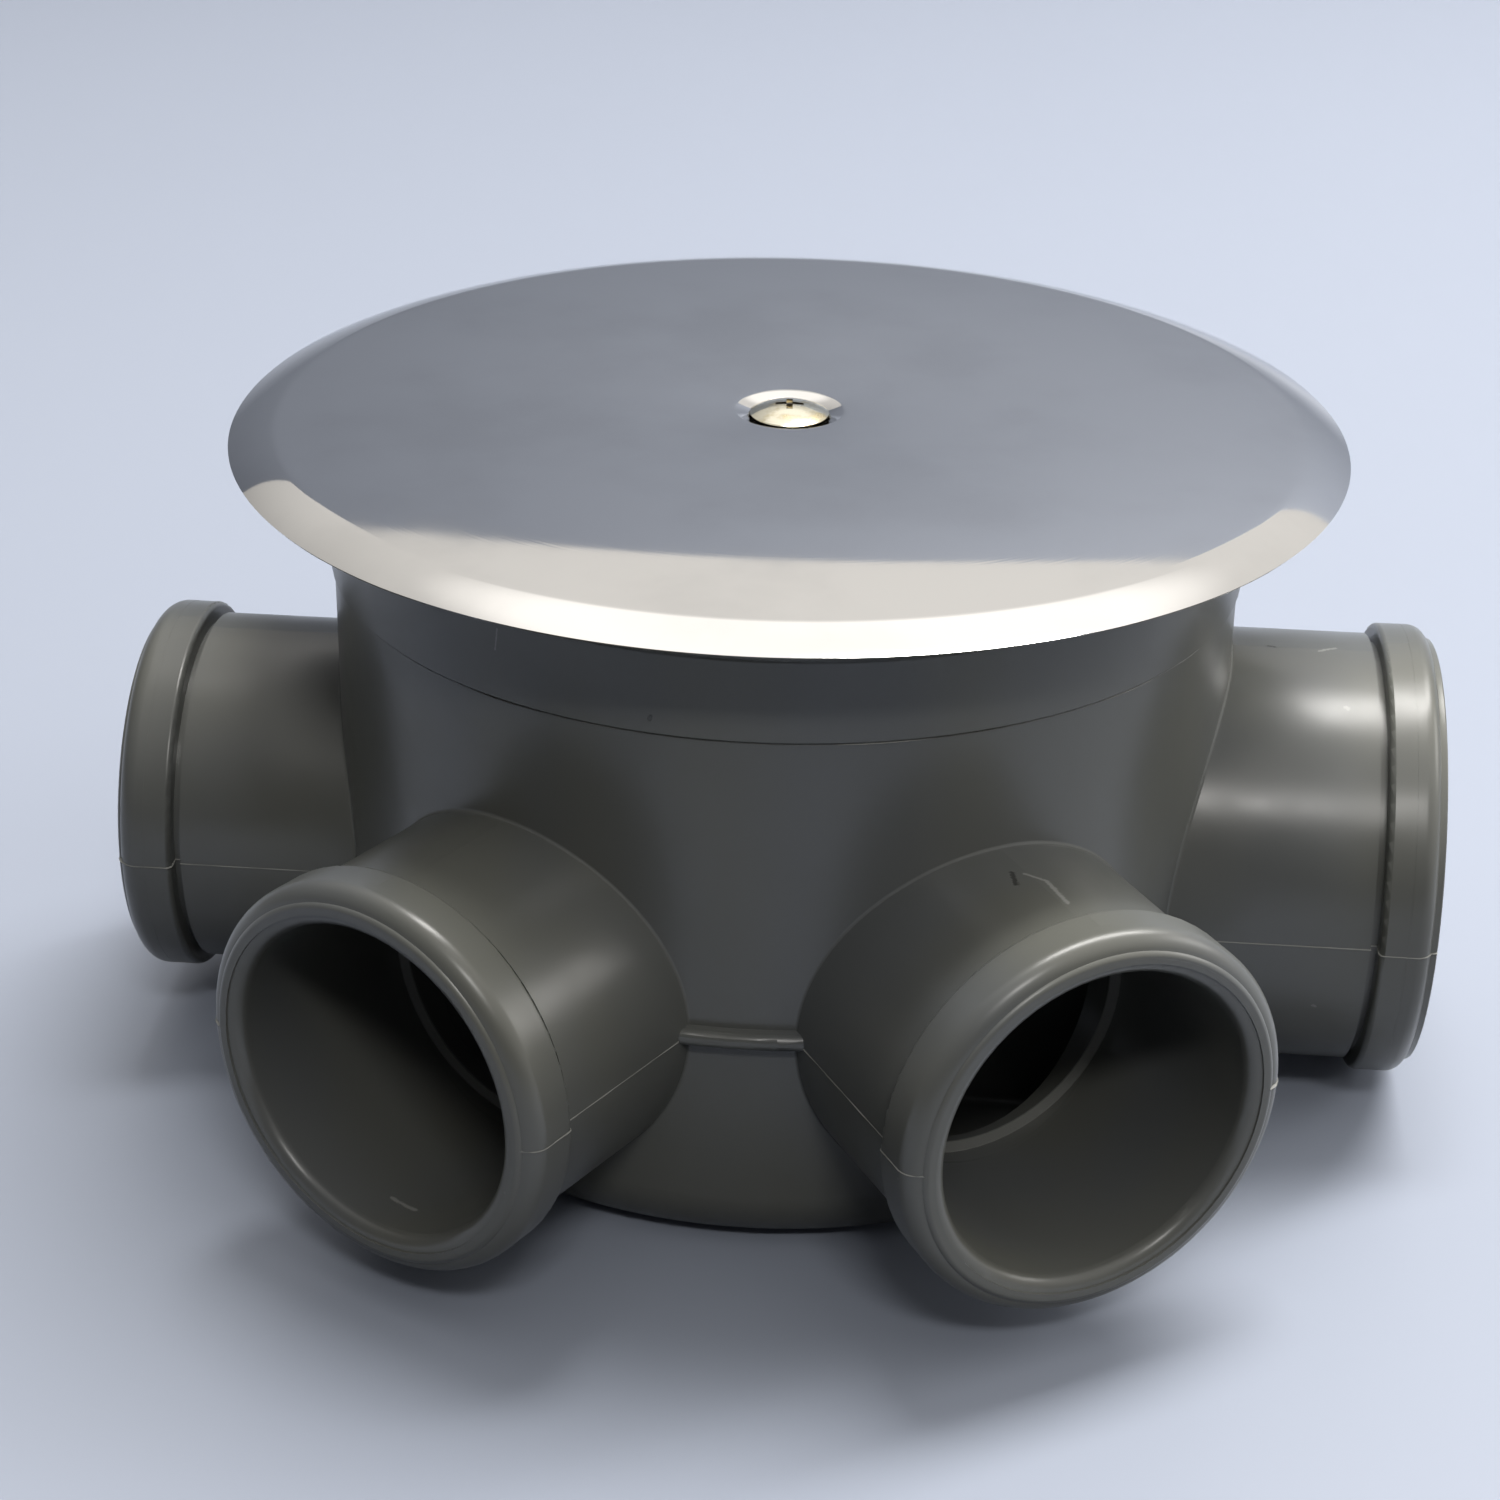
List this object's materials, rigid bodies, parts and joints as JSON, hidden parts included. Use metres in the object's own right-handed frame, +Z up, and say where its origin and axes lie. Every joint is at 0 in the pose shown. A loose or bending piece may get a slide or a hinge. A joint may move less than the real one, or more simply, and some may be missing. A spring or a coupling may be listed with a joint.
{
  "type": "floor trap",
  "caption": "Grey plastic floor trap: round chamber with pipe sockets around it, a weir in front of the outlet, a screw plug and a domed polished cover held by a centre screw.",
  "frame": {"origin": "centre of the base, where the part stands", "axes": "+Z up along the axis of the chamber, +X along the outlet"},
  "size_m": [0.1724, 0.172, 0.0911],
  "materials": {
    "grey_pvc": "semi-gloss",
    "brass": "turned",
    "rubber": "matte",
    "polished_cover": "mirror",
    "plated_screw": "bright"
  },
  "bodies": {
    "trap": {"trap_body": "grey_pvc"},
    "gasket": {"plug_gasket": "rubber"},
    "plug": {"access_plug": "grey_pvc", "thread_insert": "brass"},
    "cover": {"cover_plate": "polished_cover"},
    "screw": {"cover_screw": "plated_screw"}
  },
  "joints": [
    {"name": "plug_rise", "type": "slide", "parent": "trap", "child": "gasket", "axis": [0, 0, 1], "range_m": [0, 0.008]},
    {"name": "plug_turn", "type": "hinge", "parent": "gasket", "child": "plug", "pos_m": [0, 0, 0.084], "axis": [0, 0, 1], "range_deg": [0, 720]},
    {"name": "cover_rise", "type": "slide", "parent": "plug", "child": "cover", "axis": [0, 0, 1], "range_m": [0, 0.008]},
    {"name": "screw_turn", "type": "hinge", "parent": "cover", "child": "screw", "pos_m": [0, 0, 0.0897], "axis": [0, 0, 1], "range_deg": [0, 3600]}
  ],
  "couplings": [
    {"joint": "plug_rise", "follows": "plug_turn", "m_per_rad": 0.0006366},
    {"joint": "screw_turn", "follows": "cover_rise", "rad_per_m": 7853.9}
  ]
}
